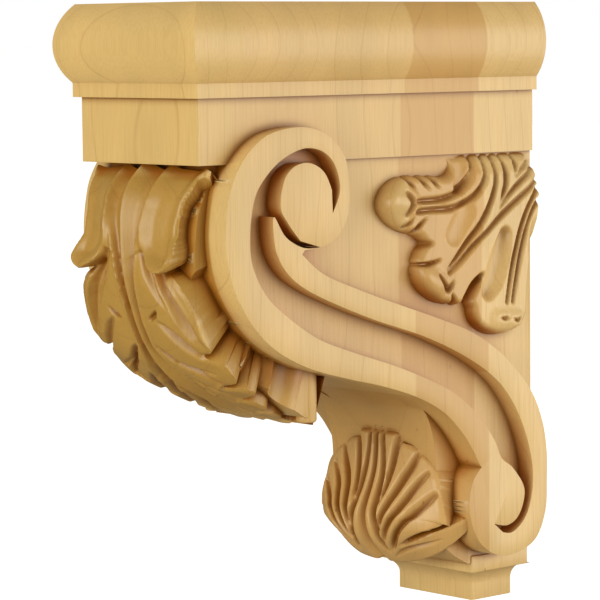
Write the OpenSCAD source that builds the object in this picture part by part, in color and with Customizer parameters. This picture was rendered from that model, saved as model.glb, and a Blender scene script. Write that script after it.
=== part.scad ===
// Carved wooden corbel bracket.
// A moulded block with a bullnose top edge sits on a body whose two sides carry
// S-shaped scrolls with a sunk channel. A large acanthus leaf hangs down the front,
// a smaller fan of leaves stands over the stepped foot, and a spray of leaves
// fills the flat panel on each side.
// X runs across the width, -Y points away from the wall, +Z is up.
// The origin is where the back meets the top face, midway across.

/* [Overall] */
// Height from the top face down to the underside of the foot
total_h = 330; // [300:1:400]
// Depth of the block from the wall to its front face
block_d = 240; // [200:1:290]
// Width of the block across the front
block_w = 93; // [77:1:112]

/* [Moulded head] */
// Height of the rounded roll at the top
roll_h = 40.5; // [33:0.5:50]
// Height of the flat fillet under the roll
fillet_h = 7.3; // [5:0.1:10]
// Height of the plain block under the fillet
block_h = 33.4; // [27:0.1:42]
// How far the roll stands out at its fullest
roll_out = 10.5; // [8:0.5:14]
// How far the roll stands out at the top face
roll_top_out = 2; // [0:0.5:4]
// How far the fillet stands out
fillet_out = 3.3; // [1:0.1:5]

/* [Body] */
// Set-back of the flat side panel from the side of the block
panel_in = 2; // [1:0.5:5]
// Set-back of the body behind the front leaf from the side of the block
core_in = 5.5; // [4:0.5:9]
// How far the scroll faces stand out from the side of the block
scroll_out = 10.5; // [8:0.5:14]
// Thickness of the scroll slabs
scroll_t = 25; // [20:0.5:28]
// Depth of the sunk channel in each scroll
channel_depth = 11; // [6:0.5:14]

/* [Leaves] */
// Thickness of the front leaf in front of the body
front_relief = 5; // [4:0.5:8]
// Depth of the flutes in the front leaf
front_flute = 3; // [2:0.1:4]
// Set-back of the front leaf's widest lobes from the side of the block
front_leaf_in = 5.5; // [4:0.5:9]
// How far the lower fan of leaves stands out past the side of the block
fan_leaf_out = 3.5; // [0:0.5:8]
// Depth of the flutes in the lower fan
fan_flute = 3; // [2:0.1:4]
// Relief of the leaf on each side panel
side_relief = 10; // [7:0.5:12]
// Depth of the flutes in the side leaf
side_flute = 2.5; // [1.5:0.1:3.5]
// Depth of the gouge cuts behind the edge of the front leaf
gouge_depth = 6; // [4:0.5:8]

/* [Foot] */
// Depth of the upper band of the foot from the wall
foot_d = 44; // [36:1:54]
// Set-back of the upper band from the side of the block
foot_in = 4.6; // [2:0.1:8]
// Height of the upper band of the foot
foot_band_h = 9.4; // [7:0.1:12]
// Height of the lower band of the foot
foot_low_h = 9; // [7:0.1:11]
// Size of the hollow curve between the two bands
cove_w = 13; // [10:0.5:16]
// Height of the whole foot
foot_h = 28; // [23:0.5:34]

/* [Hidden] */

head_h = roll_h + fillet_h + block_h;
block_x = block_w / 2;
panel_x = block_x - panel_in;
core_x = block_x - core_in;
face_x = block_x + scroll_out;
foot_x = block_x - foot_in;
front_leaf_x = block_x - front_leaf_in;
fan_leaf_x = block_x + fan_leaf_out;
foot_z = -total_h + foot_h;
wood = [0.86, 0.71, 0.50];

// The body curves are drawn for a block 240 deep, with 220.8 of body between the
// head and the foot; at() carries a drawn point [y, z] to the size that is set.
drawn_d = 240;
drawn_head = 81.2;
drawn_drop = 220.8;
function at(p) = [
    p[0] * block_d / drawn_d,
    (p[1] + drawn_head) * (total_h - foot_h - head_h) / drawn_drop - head_h];

// Catmull-Rom curve through points, with n steps a span.
function blend4(a, b, c, d, t) =
    0.5 * (2 * b + (c - a) * t + (2 * a - 5 * b + 4 * c - d) * t * t
        + (3 * b - a - 3 * c + d) * t * t * t);
function curve(p, n = 3) = [
    for (i = [0:len(p) - 2]) for (j = [0:n - 1])
        blend4(p[max(i - 1, 0)], p[i], p[i + 1], p[min(i + 2, len(p) - 1)], j / n),
    p[len(p) - 1]];
function drawn(p, n = 3) = [for (q = curve(p, n)) at(q)];

// Outer edge of the scroll: under side and front of the S, then round the upper volute.
scroll_front = [
    [-45, -249.8], [-51, -247], [-55, -241], [-65, -230], [-80, -218], [-100, -208],
    [-125, -200], [-150, -194], [-175, -187], [-195, -178], [-210, -167], [-222, -152],
    [-229, -137], [-232, -119], [-230, -100], [-226, -88], [-217, -76], [-204, -67],
    [-186, -63.4], [-172, -64.5], [-160, -69.5], [-151, -79], [-148, -92], [-148.5, -108],
    [-155, -119], [-166, -124.5], [-179, -125.8]];
// Outer edge of the scroll: upper side of the S, then round the lower volute.
scroll_back = [
    [-181, -128], [-166, -139], [-140, -149], [-110, -159], [-85, -167], [-60, -176],
    [-40, -187], [-25, -199], [-12, -213], [-4, -229], [-0.5, -245], [-0.2, -262],
    [-1.5, -280], [-10, -295], [-28, -301], [-43, -298.5], [-55, -289], [-61, -273],
    [-58, -258], [-50, -251]];
// Sunk channel: its lower edge from the upper eye down to the tip in the lower volute.
channel_front = [
    [-159.5, -108], [-154.2, -96], [-158, -83], [-167, -75.8], [-180, -74.4], [-196, -80.5],
    [-209, -92], [-214, -103], [-216, -119], [-214, -133], [-205, -148], [-190, -160],
    [-170, -172], [-145, -181], [-115, -190.5], [-90, -200], [-72, -208.5], [-55, -221],
    [-42, -236], [-36, -247], [-27, -253.5], [-18.2, -266], [-22, -279], [-31, -284.3],
    [-42, -282.5]];
// Its upper edge, back up to the groove that ends under the upper eye.
channel_back = [
    [-35, -288], [-27, -288.5], [-17, -281], [-12, -268], [-12, -252], [-18, -233],
    [-28, -216], [-42, -202], [-65, -188.5], [-95, -176], [-130, -165], [-160, -154],
    [-180, -145], [-192, -136], [-199, -124], [-200, -108], [-192, -118.5], [-180, -124.6],
    [-168, -125]];
// And round the eye.
channel_eye = [
    [-182, -121], [-190, -112], [-195.3, -103], [-192, -89], [-184, -82.6], [-174, -82],
    [-165, -87], [-160, -96]];

function scroll_outline() = concat(drawn(scroll_front), drawn(scroll_back));
function channel_outline() =
    concat(drawn(channel_front), drawn(channel_back), drawn(channel_eye));

// Line that the front leaf follows, from under the block down and back.
leaf_line = [
    [-236, -78], [-249, -90], [-254.5, -103], [-255, -118], [-250.5, -137], [-243, -154.5],
    [-236, -168.5], [-228, -180], [-216.5, -191], [-201, -200.5], [-180, -211], [-158, -219]];
// Width of the front leaf along that line, as shares of its half width.
leaf_lobes = [
    [0, 0.98], [0.14, 0.9], [0.3, 0.8], [0.38, 0.74], [0.41, 0.6], [0.44, 0.85], [0.56, 1],
    [0.6, 0.9], [0.63, 0.92], [0.72, 1], [0.76, 0.88], [0.79, 0.9], [0.86, 0.95],
    [0.89, 0.78], [0.95, 0.8], [1, 0.62]];
// Line of the middle rib of the lower fan, from the foot up to its overhanging top.
fan_line = [
    [-40, -306], [-52, -307.5], [-64, -303.5], [-77, -294], [-86, -281], [-89, -266],
    [-88, -250], [-88, -236], [-88, -222], [-88, -205]];
fan_lobes = [
    [0, 0.25], [0.11, 0.35], [0.22, 0.6], [0.33, 0.9], [0.37, 0.8], [0.45, 0.98],
    [0.56, 1], [0.62, 0.88], [0.72, 0.8], [0.85, 0.7], [1, 0.6]];
fan_thick = 20;

// Edge of a side leaf about the top corner at the wall: [angle below level, reach].
spray = [
    [-1, 62], [3, 74], [6, 80], [8.5, 121], [11.5, 122], [15, 113], [21, 100], [25, 90],
    [29, 104], [34, 115], [39, 112], [44, 100], [48, 101], [52, 88], [56, 78], [61, 92],
    [66, 100], [72, 98], [77, 94], [82, 78], [88, 60]];
spray_y = -1;
spray_z = -84;

// Moulded outline of the head as [stand-out, z]; the roll is an arc through three points.
roll_sag = roll_out - (roll_top_out + fillet_out) / 2;
roll_r = (pow(roll_h / 2, 2) + roll_sag * roll_sag) / (2 * roll_sag);
roll_half = asin(roll_h / 2 / roll_r);
function roll_arc(steps = 14) = [
    for (i = [0:steps]) let (a = roll_half * (1 - 2 * i / steps), f = i / steps)
        [roll_top_out + (fillet_out - roll_top_out) * f + roll_r * (cos(a) - cos(roll_half)),
         -roll_h / 2 + roll_r * sin(a)]];
function head_profile() = concat(roll_arc(), [
    [fillet_out, -roll_h - fillet_h], [0, -roll_h - fillet_h], [0, -head_h]]);

// Extrudes an outline of [y, z] points from x0 to x1.
module across(outline, x0, x1)
    translate([x0, 0, 0]) rotate([90, 0, 90]) linear_extrude(x1 - x0) polygon(outline);

// Extrudes an outline of [x, z] points from the wall to depth d.
module outward(outline, d) rotate([90, 0, 0]) linear_extrude(d) polygon(outline);

module both_sides() {
    children();
    mirror([1, 0, 0]) children();
}

function reversed(p) = [for (i = [len(p) - 1:-1:0]) p[i]];

// A stepped profile of [stand-out, z] rows taken round the front and both sides.
module moulded(profile, half_w, d, reach) intersection() {
    outward(concat([for (p = profile) [half_w + p[0], p[1]]],
        reversed([for (p = profile) [-half_w - p[0], p[1]]])), d + reach);
    across(concat([for (p = profile) [-d - p[0], p[1]]],
        [[0, profile[len(profile) - 1][1]], [0, profile[0][1]]]),
        -half_w - reach, half_w + reach);
}

module head() moulded(head_profile(), block_x, block_d, roll_out + 1);

// Foot: an upper band, a hollow curve and a narrower lower band.
cove_top = foot_z - foot_band_h;
cove_low = -total_h + foot_low_h;
function foot_profile() = concat(
    [[0, foot_z], [0, cove_top]],
    [for (i = [0:8]) let (a = 90 * i / 8)
        [-cove_w * sin(a), cove_top + (cove_low - cove_top) * (1 - cos(a))]],
    [[-cove_w, -total_h]]);
module foot() moulded(foot_profile(), foot_x, foot_d, 1);

// Flat side panels and the body behind the scrolls and leaves.
panel_edge = [
    [0, -60], [-195, -60], [-200, -140], [-120, -172], [-60, -195], [-20, -220], [-8, -250],
    [-8, -304], [0, -304]];
core_edge = [
    [0, -60], [-228, -60], [-238, -84], [-248, -97], [-251, -106], [-251.5, -118],
    [-247, -136], [-239.5, -153], [-232.5, -166.5], [-225, -177], [-214, -188],
    [-199, -197], [-179, -207.5], [-157.5, -215.5], [-155, -192.5], [-150, -194],
    [-125, -200], [-100, -208], [-80, -218],
    [-72, -236], [-70, -256], [-70, -280], [-62, -296], [-46, -306], [0, -306]];
module panel() across([for (p = panel_edge) at(p)], -panel_x, panel_x);
module core() difference() {
    across([for (p = core_edge) at(p)], -core_x, core_x);
    both_sides() gouges();
}

// Hollow gouge cuts that run from the leaf's edge up under the scroll.
gouge_heads = [[-222, -148], [-207, -167], [-192, -178], [-177, -186]];
gouge_feet = [[-240, -153], [-223, -182], [-203, -196], [-183, -206]];
gouge_r = 11;
gouge_run_in = 14;
module gouges() for (i = [0:len(gouge_heads) - 1])
    let (a = at(gouge_heads[i]), b = at(gouge_feet[i]), d = (b - a) / norm(b - a),
        start = a - gouge_run_in * d)
        translate([core_x + gouge_r - gouge_depth, start[0], start[1]])
            rotate([atan2(-d[0], d[1]), 0, 0])
                cylinder(h = norm(b - a) + 2 * gouge_run_in, r = gouge_r, $fn = 64);

// One scroll slab with its channel, on the +X side.
module scroll() difference() {
    across(scroll_outline(), face_x - scroll_t, face_x);
    across(channel_outline(), face_x - channel_depth, face_x + 1);
}

// A leaf laid along a line in the Y-Z plane. Every section lies square to the line;
// its face is fluted, its back is flat, and lobes sets how wide it is on the way.
function leaf_dir(line, i) =
    let (a = line[max(i - 1, 0)], b = line[min(i + 1, len(line) - 1)]) (b - a) / norm(b - a);
function flute(t, n, depth) = -depth * (0.5 - 0.5 * cos(360 * n * abs(t))) * (1 - 0.2 * abs(t));
module laid_leaf(line, lobes, half_w, thick, flutes, depth, droop, side, cols = 24) {
    rows = len(line) - 1;
    face = [for (i = [0:rows]) let (d = leaf_dir(line, i), out = [d[1], -d[0]] * side)
        for (j = [0:cols]) let (
            t = 2 * j / cols - 1,
            lift = flute(t, flutes, depth) - droop * t * t,
            p = line[i] + out * lift)
            [t * half_w * lookup(i / rows, lobes), p[0], p[1]]];
    back = [for (i = [0:rows]) let (d = leaf_dir(line, i), out = [d[1], -d[0]] * side,
            p = line[i] - out * thick, w = half_w * lookup(i / rows, lobes))
        for (s = [-1, 1]) [s * w, p[0], p[1]]];
    n = len(face);
    w = cols + 1;
    skin = [for (i = [0:rows - 1]) for (j = [0:cols - 1]) let (a = i * w + j)
        each [[a, a + 1, a + w + 1], [a, a + w + 1, a + w]]];
    rear = [for (i = [0:rows - 1]) let (a = n + 2 * i) [a, a + 2, a + 3, a + 1]];
    left = [for (i = [0:rows - 1]) each [
        [i * w, (i + 1) * w, n + 2 * i + 2], [i * w, n + 2 * i + 2, n + 2 * i]]];
    right = [for (i = [0:rows - 1]) let (a = i * w + cols) each [
        [a, n + 2 * i + 1, n + 2 * i + 3], [a, n + 2 * i + 3, a + w]]];
    top = [concat([for (j = [0:cols]) cols - j], [n, n + 1])];
    end = [concat([for (j = [0:cols]) rows * w + j], [n + 2 * rows + 1, n + 2 * rows])];
    polyhedron(concat(face, back),
        side > 0 ? concat(skin, rear, left, right, top, end)
        : [for (f = concat(skin, rear, left, right, top, end)) reversed(f)], convexity = 6);
}

// How far each leaf's long edges fall away from its middle rib, and its flutes a side.
front_droop = 2;
front_flutes = 3;
fan_droop = 12;
fan_flutes = 5;
fan_cols = 30;
module front_leaf() laid_leaf(drawn(leaf_line), leaf_lobes, front_leaf_x,
    front_relief, front_flutes, front_flute, front_droop, 1);
module fan_leaf() laid_leaf(drawn(fan_line), fan_lobes, fan_leaf_x,
    fan_thick, fan_flutes, fan_flute, fan_droop, -1, fan_cols);

// A spray of leaves on the side panel, as rings about the top corner at the wall.
spray_steps = 54;
spray_rings = 7;
spray_grooves = 9;
spray_root = 3; // how far its back is sunk into the panel
spray_edge = 0.35; // height of its edge, as a share of the relief
function spray_reach(a) = lookup(a, spray);
function spray_point(k, i) = let (
        f = k / spray_rings,
        a = spray[0][0] + (spray[len(spray) - 1][0] - spray[0][0]) * i / spray_steps,
        r = spray_reach(a) * f,
        c = at([min(spray_y - r * cos(a), spray_y / 2), spray_z - r * sin(a)]),
        swell = sin(90 * min(1, 1.6 * f)) * sqrt(max(0, 1 - pow(f, 4))),
        groove = side_flute * (0.5 + 0.5 * cos(360 * spray_grooves * i / spray_steps))
            * sin(180 * f))
    [panel_x + 1 + (side_relief - 1) * (spray_edge + (1 - spray_edge) * swell) - groove,
     c[0], c[1]];
module side_leaf() {
    m = spray_steps + 1;
    c = at([spray_y, spray_z]);
    hub = [[panel_x + side_relief / 2, c[0], c[1]]];
    face = [for (k = [1:spray_rings]) for (i = [0:spray_steps]) spray_point(k, i)];
    rim = [for (i = [0:spray_steps]) let (p = spray_point(spray_rings, i))
        [panel_x - spray_root, p[1], p[2]]];
    foot_hub = [[panel_x - spray_root, c[0], c[1]]];
    r0 = 1 + len(face);
    f0 = r0 + len(rim);
    last = r0 - m;
    polyhedron(concat(hub, face, rim, foot_hub), concat(
        [for (i = [0:m - 2]) [0, i + 2, i + 1]],
        [for (k = [0:spray_rings - 2]) for (i = [0:m - 2]) let (a = 1 + k * m + i)
            each [[a, a + 1, a + m + 1], [a, a + m + 1, a + m]]],
        [for (i = [0:m - 2])
            each [[last + i, last + i + 1, r0 + i + 1], [last + i, r0 + i + 1, r0 + i]]],
        [for (i = [0:m - 2]) [f0, r0 + i, r0 + i + 1]],
        [concat([0], [for (k = [0:spray_rings - 1]) 1 + k * m], [r0, f0])],
        [concat([f0, f0 - 1], [for (k = [spray_rings - 1:-1:0]) k * m + m], [0])]),
        convexity = 6);
}

// The whole bracket.
module corbel() color(wood) {
    head();
    panel();
    core();
    both_sides() scroll();
    foot();
    front_leaf();
    fan_leaf();
    both_sides() side_leaf();
}

corbel();
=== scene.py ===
"""A carved hardwood corbel bracket: one glued-up, carved and sanded piece of wood.

Sizes are millimetres in the wall's frame: X across, -Y away from the wall, Z up,
with the origin where the back meets the top face, midway across.
"""
import logging
import math
from dataclasses import dataclass
from enum import Enum
from typing import Sequence

import bpy
import numpy as np
from mathutils import Matrix, Vector


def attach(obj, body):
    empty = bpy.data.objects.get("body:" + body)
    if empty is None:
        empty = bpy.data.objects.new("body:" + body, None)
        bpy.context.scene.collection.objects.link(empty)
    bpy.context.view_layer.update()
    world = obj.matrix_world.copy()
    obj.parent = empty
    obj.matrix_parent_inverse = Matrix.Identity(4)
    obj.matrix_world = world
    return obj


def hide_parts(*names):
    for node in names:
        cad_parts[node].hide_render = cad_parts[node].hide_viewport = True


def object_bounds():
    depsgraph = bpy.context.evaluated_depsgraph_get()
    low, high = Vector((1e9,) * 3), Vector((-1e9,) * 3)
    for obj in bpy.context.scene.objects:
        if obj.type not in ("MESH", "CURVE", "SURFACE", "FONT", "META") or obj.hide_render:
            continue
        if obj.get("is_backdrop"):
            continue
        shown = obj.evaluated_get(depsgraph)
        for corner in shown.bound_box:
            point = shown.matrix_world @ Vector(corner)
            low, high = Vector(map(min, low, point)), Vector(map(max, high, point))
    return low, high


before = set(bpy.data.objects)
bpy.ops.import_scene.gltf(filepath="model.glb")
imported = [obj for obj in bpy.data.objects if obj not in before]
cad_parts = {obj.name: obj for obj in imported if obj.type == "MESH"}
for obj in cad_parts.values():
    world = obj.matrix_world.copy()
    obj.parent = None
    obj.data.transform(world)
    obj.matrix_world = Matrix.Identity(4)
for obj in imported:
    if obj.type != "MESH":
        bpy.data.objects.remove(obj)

LOG = logging.getLogger("corbel")
MM = 0.001
Points = Sequence[tuple[float, float]]


# ---------------------------------------------------------------- bench tools

def select_only(*objects: bpy.types.Object) -> None:
    """Selects these objects alone and makes the first one active."""
    bpy.ops.object.select_all(action="DESELECT")
    for obj in objects:
        obj.select_set(True)
    bpy.context.view_layer.objects.active = objects[0]


def apply_modifier(obj: bpy.types.Object, kind: str, **settings: object) -> None:
    """Adds a modifier to an object and applies it.

    Args:
        obj: the object that is changed.
        kind: the modifier's type.
        **settings: values set on the modifier before it is applied.
    """
    select_only(obj)
    modifier = obj.modifiers.new(kind.lower(), kind)
    for name, value in settings.items():
        setattr(modifier, name, value)
    bpy.ops.object.modifier_apply(modifier=modifier.name)


def combine(obj: bpy.types.Object, others: Sequence[bpy.types.Object],
            operation: str) -> None:
    """Joins solids to one solid, or cuts them from it, and removes them.

    Args:
        obj: the solid that is kept.
        others: the closed solids that are joined to it or cut from it.
        operation: UNION or DIFFERENCE.
    """
    for other in others:
        apply_modifier(obj, "BOOLEAN", operation=operation, solver="MANIFOLD", object=other)
        bpy.data.objects.remove(other)


def smooth_curve(points: Points, steps: int = 5) -> np.ndarray:
    """Runs a Catmull-Rom curve through points.

    Args:
        points: the points it passes through.
        steps: how many pieces each span is divided into.

    Returns:
        The curve's points, as rows.
    """
    p = np.array(points, float)
    p = np.vstack([p[:1], p, p[-1:]])
    t = np.arange(steps)[:, None] / steps
    rows = []
    for a, b, c, d in zip(p[:-3], p[1:-2], p[2:-1], p[3:]):
        rows.append(0.5 * (2 * b + (c - a) * t + (2 * a - 5 * b + 4 * c - d) * t ** 2
                           + (3 * b - a - 3 * c + d) * t ** 3))
    return np.vstack(rows + [p[-1:]])


def slab(name: str, outline: np.ndarray, x0: float, x1: float) -> bpy.types.Object:
    """Makes a plate across the bracket from an outline seen from the side.

    Args:
        name: the object's name.
        outline: the outline's (y, z) points.
        x0: where the plate starts across the bracket.
        x1: where it ends.

    Returns:
        The closed plate.
    """
    bpy.ops.object.select_all(action="DESELECT")
    bpy.ops.mesh.primitive_circle_add(vertices=len(outline), fill_type="NGON")
    obj = bpy.context.object
    obj.name = name
    for vertex, (y, z) in zip(obj.data.vertices, outline):
        vertex.co = Vector((x0, y, z)) * MM
    bpy.ops.object.mode_set(mode="EDIT")
    bpy.ops.mesh.select_all(action="SELECT")
    bpy.ops.mesh.extrude_region_move(TRANSFORM_OT_translate={"value": ((x1 - x0) * MM, 0, 0)})
    bpy.ops.mesh.select_all(action="SELECT")
    bpy.ops.mesh.normals_make_consistent(inside=False)
    bpy.ops.object.mode_set(mode="OBJECT")
    return obj


def moulded(name: str, profile: Points, half_width: float, depth: float) -> bpy.types.Object:
    """Runs a moulding round the front and sides of a block that stands on the wall.

    Args:
        name: the object's name.
        profile: rows of (stand-out, z), from the top down.
        half_width: half the block's width where the stand-out is nought.
        depth: the block's depth there.

    Returns:
        The closed block.
    """
    out, z = profile[0]
    bpy.ops.object.select_all(action="DESELECT")
    bpy.ops.mesh.primitive_plane_add(size=1, location=(0, -(depth + out) * MM / 2, z * MM))
    obj = bpy.context.object
    obj.name = name
    obj.scale = (2 * (half_width + out) * MM, (depth + out) * MM, 1)
    bpy.ops.object.transform_apply(location=True, rotation=False, scale=True)
    bpy.ops.object.mode_set(mode="EDIT")
    bpy.ops.mesh.select_all(action="SELECT")
    for new_out, new_z in profile[1:]:
        bpy.ops.mesh.extrude_region_move(
            TRANSFORM_OT_translate={"value": (0, 0, (new_z - z) * MM)})
        bpy.ops.transform.resize(
            value=((half_width + new_out) / (half_width + out),
                   (depth + new_out) / (depth + out), 1),
            center_override=(0, 0, new_z * MM))
        out, z = new_out, new_z
    bpy.ops.mesh.select_all(action="SELECT")
    bpy.ops.mesh.normals_make_consistent(inside=False)
    bpy.ops.object.mode_set(mode="OBJECT")
    return obj


def mirrored(obj: bpy.types.Object) -> bpy.types.Object:
    """Copies an object to the other side of the bracket.

    Args:
        obj: the object on one side.

    Returns:
        Its mirror image, with its own mesh and outward faces.
    """
    select_only(obj)
    bpy.ops.object.duplicate()
    twin = bpy.context.object
    twin.data.transform(Matrix.Scale(-1, 4, (1, 0, 0)))
    twin.data.flip_normals()
    return twin


# ---------------------------------------------------------------- carved reliefs

class Tool(Enum):
    """The shape of a carving stroke across its width."""

    VEE = "vee"
    ROUND = "round"
    SOFT = "soft"


def across_stroke(tool: Tool, share: np.ndarray) -> np.ndarray:
    """Gives a stroke's depth across its width.

    Args:
        tool: the stroke's shape.
        share: the distance from its middle, as a share of its half width.

    Returns:
        The depth there, as a share of the full depth.
    """
    share = np.clip(share, 0, 1)
    if tool is Tool.VEE:
        return 1 - share
    if tool is Tool.ROUND:
        return 1 - share ** 2
    return 0.5 + 0.5 * np.cos(np.pi * share)


@dataclass(frozen=True)
class Stroke:
    """One pass of a carving tool along a smooth line."""

    line: Points
    half_width: float | tuple[float, ...]
    depth: float | tuple[float, ...]
    tool: Tool = Tool.VEE


@dataclass(frozen=True)
class Fold:
    """A line where one lobe lies over the next: the ground drops on its left side."""

    line: Points
    drop: float | tuple[float, ...]
    reach: float


class Relief:
    """Heights in millimetres over a regular grid, carved stroke by stroke."""

    # How near an outline, in cells, a point inside or outside it is moved onto it.
    near_inside: float = 0.6
    near_outside: float = 1.6
    # The distance's least slope, squared, where an outline turns sharply.
    least_slope: float = 0.25

    def __init__(self, u_range: tuple[float, float], v_range: tuple[float, float],
                 step: float) -> None:
        """Lays out the grid.

        Args:
            u_range: the first and last value across.
            v_range: the first and last value along.
            step: the size of a grid cell.
        """
        self.columns = round(abs(u_range[1] - u_range[0]) / step) + 1
        self.rows = round(abs(v_range[1] - v_range[0]) / step) + 1
        self.u, self.v = np.meshgrid(np.linspace(*u_range, self.columns),
                                     np.linspace(*v_range, self.rows))
        self.x = self.u.copy()
        self.ground = np.zeros_like(self.u)
        self.cuts = np.zeros_like(self.u)
        self.ridges = np.zeros_like(self.u)

    def fold_halves(self) -> None:
        """Carves both halves alike: u becomes the distance from the middle, x stays."""
        self.u = np.abs(self.u)

    def near(self, line: np.ndarray) -> tuple[np.ndarray, np.ndarray, np.ndarray]:
        """Measures every grid point against a line.

        Args:
            line: the line's points.

        Returns:
            The distance to the line, how far along it the nearest place is from
            0 to 1, and which side of it the point is on (+1 left, -1 right).
        """
        best = np.full(self.u.shape, np.inf)
        along = np.zeros_like(best)
        side = np.ones_like(best)
        last = len(line) - 1
        for i in range(last):
            (au, av), (bu, bv) = line[i], line[i + 1]
            du, dv = bu - au, bv - av
            pu, pv = self.u - au, self.v - av
            t = np.clip((pu * du + pv * dv) / max(du * du + dv * dv, 1e-9), 0, 1)
            distance = np.hypot(pu - t * du, pv - t * dv)
            closer = distance < best
            best = np.where(closer, distance, best)
            along = np.where(closer, (i + t) / last, along)
            side = np.where(closer, np.sign(du * pv - dv * pu), side)
        return best, along, side

    @staticmethod
    def spread(values: float | tuple[float, ...], along: np.ndarray) -> np.ndarray:
        """Spreads one value, or several evenly spaced ones, along a line."""
        values = np.atleast_1d(values)
        return np.interp(along, np.linspace(0, 1, len(values)), values)

    def profile(self, stroke: Stroke) -> np.ndarray:
        """Gives how deep a stroke is at every grid point.

        Args:
            stroke: the pass of the tool.

        Returns:
            The depth, nought away from the stroke.
        """
        distance, along, _ = self.near(smooth_curve(stroke.line, 4))
        width = np.maximum(self.spread(stroke.half_width, along), 1e-3)
        return self.spread(stroke.depth, along) * across_stroke(stroke.tool, distance / width)

    def cut(self, strokes: Sequence[Stroke]) -> None:
        """Cuts grooves; where two meet, the deeper one counts."""
        for stroke in strokes:
            self.cuts = np.maximum(self.cuts, self.profile(stroke))

    def raise_up(self, strokes: Sequence[Stroke]) -> None:
        """Leaves ridges standing; where two meet, the higher one counts."""
        for stroke in strokes:
            self.ridges = np.maximum(self.ridges, self.profile(stroke))

    def swell(self, strokes: Sequence[Stroke]) -> None:
        """Adds broad swellings, or hollows where the depth is negative."""
        for stroke in strokes:
            self.ground += self.profile(stroke)

    def fold(self, folds: Sequence[Fold]) -> None:
        """Drops the ground on the left of each line, fading out with distance.

        Args:
            folds: the lines where one lobe lies over the next.
        """
        for fold in folds:
            distance, along, side = self.near(smooth_curve(fold.line, 4))
            inside = (along > 0) & (along < 1)
            drop = self.spread(fold.drop, along) * np.exp(-distance / fold.reach)
            self.ground -= np.where((side > 0) & inside, drop, 0)

    def inside(self, outline: Points, steps: int = 4) -> np.ndarray:
        """Measures how far each grid point is inside a closed outline.

        Args:
            outline: the outline's points, the last one not repeated.
            steps: how finely its curves are drawn.

        Returns:
            The distance to the outline, negative outside it.
        """
        line = smooth_curve(list(outline) + [outline[0]], steps)
        distance, _, _ = self.near(line)
        odd = np.zeros(self.u.shape, bool)
        for (au, av), (bu, bv) in zip(line[:-1], line[1:]):
            crosses = (av > self.v) != (bv > self.v)
            slope = (bu - au) / (bv - av) if bv != av else 0.0
            odd ^= crosses & (self.u < au + (self.v - av) * slope)
        return np.where(odd, distance, -distance)

    def snap(self, edge: np.ndarray) -> tuple[np.ndarray, np.ndarray, np.ndarray]:
        """Finds how far grid points beside an outline move to lie on it.

        Args:
            edge: the signed distance to the outline, positive inside.

        Returns:
            The moves across and along, and 1 for the points left outside.
        """
        cell_u = abs(self.x[0, 1] - self.x[0, 0])
        cell_v = abs(self.v[1, 0] - self.v[0, 0])
        slope_v, slope_u = np.gradient(edge, cell_v, cell_u)
        steep = np.maximum(slope_u ** 2 + slope_v ** 2, self.least_slope)
        share = edge / max(cell_u, cell_v)
        beside = (share < self.near_inside) & (share > -self.near_outside)
        across, along = (np.where(beside, -edge * slope / steep, 0)
                         for slope in (slope_u, slope_v))
        return across, along, np.where(share < -self.near_inside, 1.0, 0.0)

    @property
    def height(self) -> np.ndarray:
        """The carved height at every grid point, sanded over by about one cell."""
        h = self.ground + self.ridges - self.cuts
        h[1:-1] = 0.25 * h[:-2] + 0.5 * h[1:-1] + 0.25 * h[2:]
        h[:, 1:-1] = 0.25 * h[:, :-2] + 0.5 * h[:, 1:-1] + 0.25 * h[:, 2:]
        return h

    def solid(self, name: str, front: np.ndarray, back: np.ndarray) -> bpy.types.Object:
        """Makes a closed solid from the carved face and a plain back.

        Args:
            name: the object's name.
            front: the face's points, rows by columns by 3, in millimetres.
            back: where the back's edge points lie, the same size.

        Returns:
            The closed solid.
        """
        bpy.ops.object.select_all(action="DESELECT")
        bpy.ops.mesh.primitive_grid_add(x_subdivisions=self.columns - 1,
                                        y_subdivisions=self.rows - 1, size=1)
        obj = bpy.context.object
        obj.name = name
        obj.data.vertices.foreach_set("co", (front * MM).astype(np.float32).ravel())
        place = obj.data.attributes.new("place", "INT", "POINT")
        place.data.foreach_set("value", np.arange(self.rows * self.columns, dtype=np.int32))
        bpy.ops.object.mode_set(mode="EDIT")
        bpy.ops.mesh.select_all(action="SELECT")
        bpy.ops.mesh.region_to_loop()
        bpy.ops.mesh.extrude_edges_move()
        bpy.ops.object.mode_set(mode="OBJECT")
        rear = back.reshape(-1, 3)
        place = obj.data.attributes["place"]
        for vertex in obj.data.vertices[self.rows * self.columns:]:
            vertex.co = Vector(rear[place.data[vertex.index].value]) * MM
        obj.data.attributes.remove(place)
        bpy.ops.object.mode_set(mode="EDIT")
        bpy.ops.mesh.edge_face_add()
        bpy.ops.mesh.select_all(action="SELECT")
        bpy.ops.mesh.normals_make_consistent(inside=False)
        bpy.ops.object.mode_set(mode="OBJECT")
        return obj


# ---------------------------------------------------------------- plain body

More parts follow.
